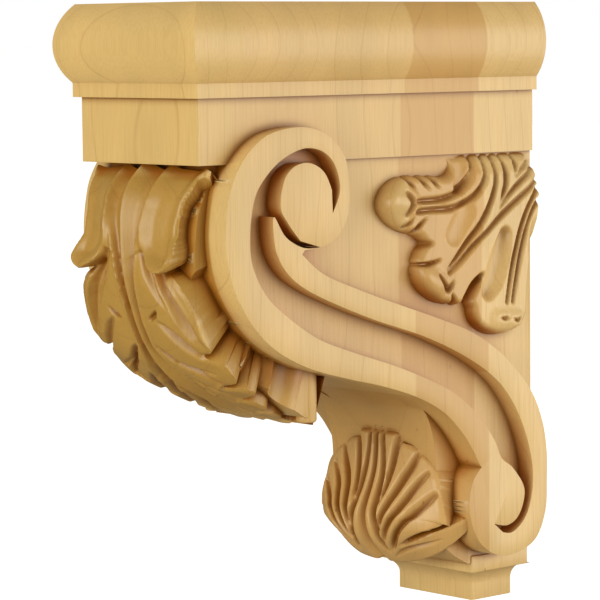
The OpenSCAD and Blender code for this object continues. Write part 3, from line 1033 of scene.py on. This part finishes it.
    def build(self) -> bpy.types.Object:
        """Builds the spray on the +X side as a solid sunk into the panel."""
        r = self.carve()
        height = np.where(r.ground > 0, r.height, 0)
        front = np.dstack([self.panel - self.sunk + height * (1 + self.sunk / self.relief),
                           r.u, r.v])
        back = np.dstack([np.full_like(r.u, self.panel - self.back), r.u, r.v])
        return r.solid("side_leaf", front, back)


# ---------------------------------------------------------------- finish

def linear(hex_colour: str) -> tuple[float, float, float, float]:
    """Turns an sRGB hex value to a linear colour."""
    channels = [int(hex_colour[i:i + 2], 16) / 255 for i in (1, 3, 5)]
    return tuple(c / 12.92 if c <= 0.04045 else ((c + 0.055) / 1.055) ** 2.4
                 for c in channels) + (1.0,)


def add_node(tree: bpy.types.NodeTree, kind: str, inputs: dict | None = None,
             **settings: object) -> bpy.types.Node:
    """Adds a node, sets it up and links what feeds it.

    Args:
        tree: the material's node tree.
        kind: the node's type.
        inputs: what each input takes: a node (its first output), a socket or a value.
        **settings: values set on the node itself.

    Returns:
        The new node.
    """
    node = tree.nodes.new(kind)
    for name, value in settings.items():
        setattr(node, name, value)
    for key, value in (inputs or {}).items():
        if isinstance(value, bpy.types.Node):
            value = value.outputs[0]
        if isinstance(value, bpy.types.NodeSocket):
            tree.links.new(value, node.inputs[key])
        else:
            node.inputs[key].default_value = value
    return node


def set_ramp(node: bpy.types.Node, stops: Sequence[tuple[float, tuple[float, ...]]],
             interpolation: str = "LINEAR") -> None:
    """Sets a colour ramp's stops.

    Args:
        node: the ramp's node.
        stops: rows of (position, linear colour), in order.
        interpolation: how the ramp runs from stop to stop.
    """
    ramp = node.color_ramp
    ramp.interpolation = interpolation
    while len(ramp.elements) < len(stops):
        ramp.elements.new(1.0)
    for element, (position, colour) in zip(ramp.elements, stops):
        element.position = position
        element.color = colour


@dataclass(frozen=True)
class SandedHardwood:
    """Bare light hardwood, glued up from boards, carved and fine sanded.

    The eye gets a satin surface, straight grain up the piece, growth arcs where the
    roll cuts the rings, boards of slightly different tone with hair-thin glue lines,
    painted warm brown shade where the carving is deep, and painted shade on the front leaf under
    the block.
    """

    # Each board: where it ends towards the front, its colour, and its heart (x, y).
    boards: tuple[tuple[float, str, float, float], ...] = (
        (46, "#DFBE82", 120, -130), (101, "#CFA566", 2, -112), (160, "#DBB87B", 150, -60),
        (219, "#DDBA7E", 96, -262), (270, "#DCBB7C", 14, -330))
    glue: str = "#B98F58"
    ring: str = "#A8743A"
    streak: str = "#C3924F"
    fleck: str = "#6E4520"
    # The colour that multiplies the front leaf's colour: painted shade from the block above.
    painted_leaf_shade: str = "#D6C696"
    # Where the painted shade on the front leaf is full and where it ends: across, upwards
    # and towards the wall (m).
    painted_leaf_shade_across: tuple[float, float] = (0.0435, 0.0446)
    painted_leaf_shade_up: tuple[float, float] = (-0.088, -0.080)
    painted_leaf_shade_back: tuple[float, float] = (-0.19, -0.15)
    # Each painted shade in the hollows: how far it looks round (m), how open a place is where it
    # is full and where it ends, its full share, and its colour.
    painted_hollow_shades: tuple[tuple[float, float, float, float, str], ...] = (
        (0.026, 0.3, 0.74, 0.92, "#A45800"), (0.005, 0.5, 0.94, 0.8, "#84500A"))
    span: float = 270.0
    glue_width: float = 0.5
    ring_gap: float = 11.0
    roughness: float = 0.38

    def material(self) -> bpy.types.Material:
        """Makes the material."""
        material = bpy.data.materials.new("fine_sanded_hardwood")
        material.use_nodes = True
        tree = material.node_tree
        bsdf = tree.nodes["Principled BSDF"]
        place = add_node(tree, "ShaderNodeTexCoord").outputs["Object"]
        wander = add_node(tree, "ShaderNodeTexNoise", {"Vector": place, "Scale": 9.0,
                                                       "Detail": 1.0})
        split = add_node(tree, "ShaderNodeSeparateXYZ", {"Vector": place})
        depth = add_node(tree, "ShaderNodeMath", {0: split.outputs["Y"], 1: -1000 / self.span},
                         operation="MULTIPLY")
        board = add_node(tree, "ShaderNodeValToRGB", {"Fac": depth})
        half = self.glue_width / self.span / 2
        glue = linear(self.glue)
        stops, hearts, start = [], [], 0.0
        for end, colour, x, y in self.boards:
            edge = end / self.span
            stops += [(start, linear(colour)), (edge - half, linear(colour))]
            if end != self.boards[-1][0]:
                stops += [(edge - half / 2, glue), (edge + half / 2, glue)]
            hearts.append((start - half if hearts else 0.0, (x * MM, -y * MM, 0.0, 1.0)))
            start = edge + half
        set_ramp(board, stops)
        heart = add_node(tree, "ShaderNodeValToRGB", {"Fac": depth})
        set_ramp(heart, hearts, "CONSTANT")
        flat = add_node(tree, "ShaderNodeVectorMath", {0: place, 1: (1, -1, 0)},
                        operation="MULTIPLY")
        from_heart = add_node(tree, "ShaderNodeVectorMath", {0: flat, 1: heart},
                              operation="DISTANCE")
        bend = add_node(tree, "ShaderNodeMath", {0: wander, 1: 0.022, 2: from_heart.outputs[1]},
                        operation="MULTIPLY_ADD")
        turns = add_node(tree, "ShaderNodeMath", {0: bend, 1: 1000 / self.ring_gap},
                         operation="MULTIPLY")
        saw = add_node(tree, "ShaderNodeMath", {0: turns}, operation="FRACT")
        ring = add_node(tree, "ShaderNodeValToRGB", {"Fac": saw})
        set_ramp(ring, [(at, linear(grey)) for at, grey in (
            (0.0, "#000000"), (0.55, "#202020"), (0.93, "#606060"), (0.965, "#FFFFFF"),
            (1.0, "#000000"))])
        fade = add_node(tree, "ShaderNodeTexNoise", {"Vector": place, "Scale": 26.0,
                                                     "Detail": 2.0})
        ring_share = add_node(tree, "ShaderNodeMath", {0: ring, 1: fade}, operation="MULTIPLY")
        ring_share = add_node(tree, "ShaderNodeMath", {0: ring_share, 1: 0.5},
                              operation="MULTIPLY")
        ringed = add_node(tree, "ShaderNodeMix", {"Factor": ring_share, "A": board,
                                                  "B": linear(self.ring)}, data_type="RGBA")
        # Pores and fibres run up the piece, about 0.5 mm wide and 30 mm long.
        fibre_place = add_node(tree, "ShaderNodeMapping", {"Vector": place,
                                                           "Scale": (1400, 1400, 34)})
        fibre = add_node(tree, "ShaderNodeTexNoise", {"Vector": fibre_place, "Scale": 1.0,
                                                      "Detail": 3.0, "Roughness": 0.6})
        fibre_tone = add_node(tree, "ShaderNodeMapRange", {
            "Value": fibre, "From Min": 0.42, "From Max": 0.72, "To Min": 0.0, "To Max": 0.32})
        fibred = add_node(tree, "ShaderNodeMix", {"Factor": fibre_tone,
                                                  "A": ringed.outputs["Result"],
                                                  "B": linear(self.streak)}, data_type="RGBA")
        # Soft clouds of tone, a few centimetres across and taller than wide.
        cloud_place = add_node(tree, "ShaderNodeMapping", {"Vector": place,
                                                           "Scale": (34, 34, 13)})
        cloud = add_node(tree, "ShaderNodeTexNoise", {"Vector": cloud_place, "Scale": 1.0,
                                                      "Detail": 2.0})
        cloud_tone = add_node(tree, "ShaderNodeMapRange", {
            "Value": cloud, "From Min": 0.3, "From Max": 0.7, "To Min": 0.93, "To Max": 1.05})
        clouded = add_node(tree, "ShaderNodeVectorMath", {0: fibred.outputs["Result"],
                                                          1: cloud_tone}, operation="MULTIPLY")
        # Sparse dark mineral flecks, 1 mm wide and a few millimetres tall.
        fleck_place = add_node(tree, "ShaderNodeMapping", {"Vector": place,
                                                           "Scale": (95, 95, 42)})
        fleck = add_node(tree, "ShaderNodeTexVoronoi", {"Vector": fleck_place, "Scale": 1.0})
        fleck_size = add_node(tree, "ShaderNodeMapRange", {
            "Value": fleck.outputs["Distance"], "From Min": 0.02, "From Max": 0.085,
            "To Min": 0.75, "To Max": 0.0})
        chosen = add_node(tree, "ShaderNodeMath", {0: fleck.outputs["Color"], 1: 0.72},
                          operation="GREATER_THAN")
        fleck_share = add_node(tree, "ShaderNodeMath", {0: fleck_size, 1: chosen},
                               operation="MULTIPLY")
        flecked = add_node(tree, "ShaderNodeMix", {"Factor": fleck_share, "A": clouded,
                                                   "B": linear(self.fleck)}, data_type="RGBA")
        # Painted shade: the front leaf, under the block and between the scrolls, is darkened where
        # the block and roll above shade it.
        away = add_node(tree, "ShaderNodeMath", {0: split.outputs["X"]}, operation="ABSOLUTE")
        painted_leaf_shade_share = None
        for value, full, none in (
                (away, *self.painted_leaf_shade_across), (split.outputs["Z"], *self.painted_leaf_shade_up),
                (split.outputs["Y"], *self.painted_leaf_shade_back)):
            part = add_node(tree, "ShaderNodeMapRange", {
                "Value": value, "From Min": full, "From Max": none, "To Min": 1.0,
                "To Max": 0.0})
            painted_leaf_shade_share = part if painted_leaf_shade_share is None else add_node(
                tree, "ShaderNodeMath", {0: painted_leaf_shade_share, 1: part}, operation="MULTIPLY")
        painted_leaf_shade = add_node(tree, "ShaderNodeVectorMath", {
            0: flecked.outputs["Result"], 1: linear(self.painted_leaf_shade)[:3]}, operation="MULTIPLY")
        painted_leaf_shaded = add_node(tree, "ShaderNodeMix", {"Factor": painted_leaf_shade_share,
                                                  "A": flecked.outputs["Result"],
                                                  "B": painted_leaf_shade}, data_type="RGBA")
        # Painted shade: where ambient occlusion finds deep carving and fine creases, the colour
        # darkens to a warm brown.
        tone = painted_leaf_shaded.outputs["Result"]
        for reach, full, none, most, colour in self.painted_hollow_shades:
            hollow = add_node(tree, "ShaderNodeAmbientOcclusion", {"Distance": reach},
                              samples=8)
            share = add_node(tree, "ShaderNodeMapRange", {
                "Value": hollow.outputs["AO"], "From Min": full, "From Max": none,
                "To Min": most, "To Max": 0.0})
            tone = add_node(tree, "ShaderNodeMix", {
                "Factor": share, "A": tone, "B": linear(colour)},
                data_type="RGBA").outputs["Result"]
        tree.links.new(tone, bsdf.inputs["Base Color"])
        bsdf.inputs["Roughness"].default_value = self.roughness
        bsdf.inputs["IOR"].default_value = 1.5
        bump = add_node(tree, "ShaderNodeBump", {"Height": fibre, "Strength": 0.12,
                                                 "Distance": 0.0004})
        tree.links.new(bump.outputs["Normal"], bsdf.inputs["Normal"])
        return material


# ---------------------------------------------------------------- the whole piece

class Corbel:
    """The bracket, joined to one closed piece."""

    def __init__(self) -> None:
        """Lists the parts that are carved from the one block."""
        self.head, self.foot, self.body = Head(), Foot(), Body()
        self.scroll, self.side_leaf = Scroll(), SideLeaf()
        self.front_leaf, self.fan_leaf = FrontLeaf(), FanLeaf()

    def build(self) -> bpy.types.Object:
        """Builds and joins all the parts."""
        piece = self.body.build()
        scroll, spray = self.scroll.build(), self.side_leaf.build()
        parts = [self.head.build(), self.foot.build(), scroll, mirrored(scroll),
                 spray, mirrored(spray), self.front_leaf.build(), self.fan_leaf.build()]
        combine(piece, parts, "UNION")
        piece.name = "carved_corbel"
        apply_modifier(piece, "TRIANGULATE")
        select_only(piece)
        bpy.ops.object.shade_smooth_by_angle(angle=math.radians(38))
        return piece


# ---------------------------------------------------------------- studio

@dataclass(frozen=True)
class Lamp:
    """A soft rectangular lamp that faces the middle of the piece.

    Its direction is from the piece, its distance, width and height are in metres, and
    its face's brightness is 1 for white paper.
    """

    name: str
    towards: tuple[float, float, float]
    distance: float
    size: tuple[float, float]
    radiance: float
    colour: str


@dataclass
class Studio:
    """The plain floor, the soft lights and the camera, round the box low to high."""

    low: Vector
    high: Vector
    floor_gap: float = 0.3
    floor_colour: str = "#B8B2A6"
    room_colour: str = "#FFF3DA"
    room_strength: float = 0.3
    lamps: tuple[Lamp, ...] = (
        Lamp("right_panel", (0.80, 0.58, 0.05), 1.6, (2.2, 1.15), 2.9, "#FFFDF4"),
        Lamp("front_panel", (0.2, -0.97, 0.12), 2.0, (1.3, 1.3), 5.6, "#FFFEF2"))
    # The camera's turn and rise round the piece and its own roll, in radians.
    azimuth: float = 0.8352543
    elevation: float = 0.0887559
    roll: float = -0.0097032
    distance: float = 1590.98
    # What the camera looks at, and how far the view is shifted right and up from it.
    middle: tuple[float, float, float] = (0, -110, -165)
    shift: tuple[float, float] = (-15.722, 5.949)
    focal: float = 2954.41
    frame_width: float = 600.0
    sensor: float = 36.0

    def floor(self) -> None:
        """Lays a wide pale floor below the piece, which hangs on a wall."""
        bpy.ops.object.select_all(action="DESELECT")
        bpy.ops.mesh.primitive_plane_add(size=60, location=(0, 0, self.low.z - self.floor_gap))
        floor = bpy.context.object
        floor.name = "floor"
        material = bpy.data.materials.new("pale_matt_board")
        material.use_nodes = True
        tree = material.node_tree
        bsdf = tree.nodes["Principled BSDF"]
        for socket, value in (("Base Color", linear(self.floor_colour)), ("Roughness", 1.0),
                              ("Specular IOR Level", 0.0), ("Emission Color", (1, 1, 1, 1))):
            bsdf.inputs[socket].default_value = value
        seen = add_node(tree, "ShaderNodeLightPath").outputs["Is Camera Ray"]
        tree.links.new(seen, bsdf.inputs["Emission Strength"])
        floor.data.materials.append(material)
        floor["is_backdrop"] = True

    def hang(self, lamp: Lamp) -> None:
        """Hangs one lamp, turned to the middle of the piece.

        Args:
            lamp: the lamp, with its place and brightness.
        """
        middle = (self.low + self.high) / 2
        light = bpy.data.lights.new(lamp.name, "AREA")
        light.shape = "RECTANGLE"
        light.size, light.size_y = lamp.size
        light.energy = lamp.radiance * math.pi * lamp.size[0] * lamp.size[1]
        light.color = linear(lamp.colour)[:3]
        obj = bpy.data.objects.new(lamp.name, light)
        obj.location = middle + Vector(lamp.towards).normalized() * lamp.distance
        obj.rotation_euler = (middle - obj.location).to_track_quat("-Z", "Y").to_euler()
        bpy.context.scene.collection.objects.link(obj)

    def camera(self) -> None:
        """Sets up the camera, level with the middle of the piece and far off."""
        level = math.cos(self.elevation)
        back = Vector((math.sin(self.azimuth) * level, -math.cos(self.azimuth) * level,
                       math.sin(self.elevation)))
        right = (-back).cross(Vector((0, 0, 1))).normalized()
        up = right.cross(-back)
        target = (Vector(self.middle) + right * self.shift[0]
                  + Vector((0, 0, 1)) * self.shift[1])
        turned = right * math.cos(self.roll) + up * math.sin(self.roll)
        upright = up * math.cos(self.roll) - right * math.sin(self.roll)
        place = (target + back * self.distance) * MM
        data = bpy.data.cameras.new("camera")
        data.sensor_width = self.sensor
        data.lens = self.focal / self.frame_width * self.sensor
        data.clip_end = 20
        obj = bpy.data.objects.new("camera", data)
        obj.matrix_world = Matrix((
            (turned.x, upright.x, back.x, place.x), (turned.y, upright.y, back.y, place.y),
            (turned.z, upright.z, back.z, place.z), (0, 0, 0, 1)))
        bpy.context.scene.collection.objects.link(obj)
        bpy.context.scene.camera = obj

    def world(self) -> None:
        """Fills the room with dim even light, in front of a white backdrop."""
        world = bpy.data.worlds.new("room")
        world.use_nodes = True
        tree = world.node_tree
        tree.nodes["Background"].inputs["Color"].default_value = linear(self.room_colour)
        tree.nodes["Background"].inputs["Strength"].default_value = self.room_strength
        backdrop = add_node(tree, "ShaderNodeBackground", {"Color": (1, 1, 1, 1),
                                                           "Strength": 1.0})
        seen = add_node(tree, "ShaderNodeLightPath").outputs["Is Camera Ray"]
        mix = add_node(tree, "ShaderNodeMixShader", {0: seen, 1: tree.nodes["Background"],
                                                     2: backdrop})
        tree.links.new(mix.outputs[0], tree.nodes["World Output"].inputs["Surface"])
        bpy.context.scene.world = world
        bpy.context.scene.view_settings.view_transform = "Standard"

    def build(self) -> None:
        """Sets the whole studio up."""
        self.floor()
        self.world()
        self.camera()
        for lamp in self.lamps:
            self.hang(lamp)


def main() -> None:
    """Builds the piece and the studio round it."""
    logging.basicConfig(level=logging.INFO, format="%(name)s: %(message)s")
    cad_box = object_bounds()
    studio = Studio(Vector(cad_box[0]), Vector(cad_box[1]))
    studio.build()
    piece = Corbel().build()
    piece.data.materials.clear()
    piece.data.materials.append(SandedHardwood().material())
    LOG.info("%s: %d triangles", piece.name, len(piece.data.polygons))
    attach(piece, "root")
    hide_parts("corbel")


if __name__ == "__main__":
    main()
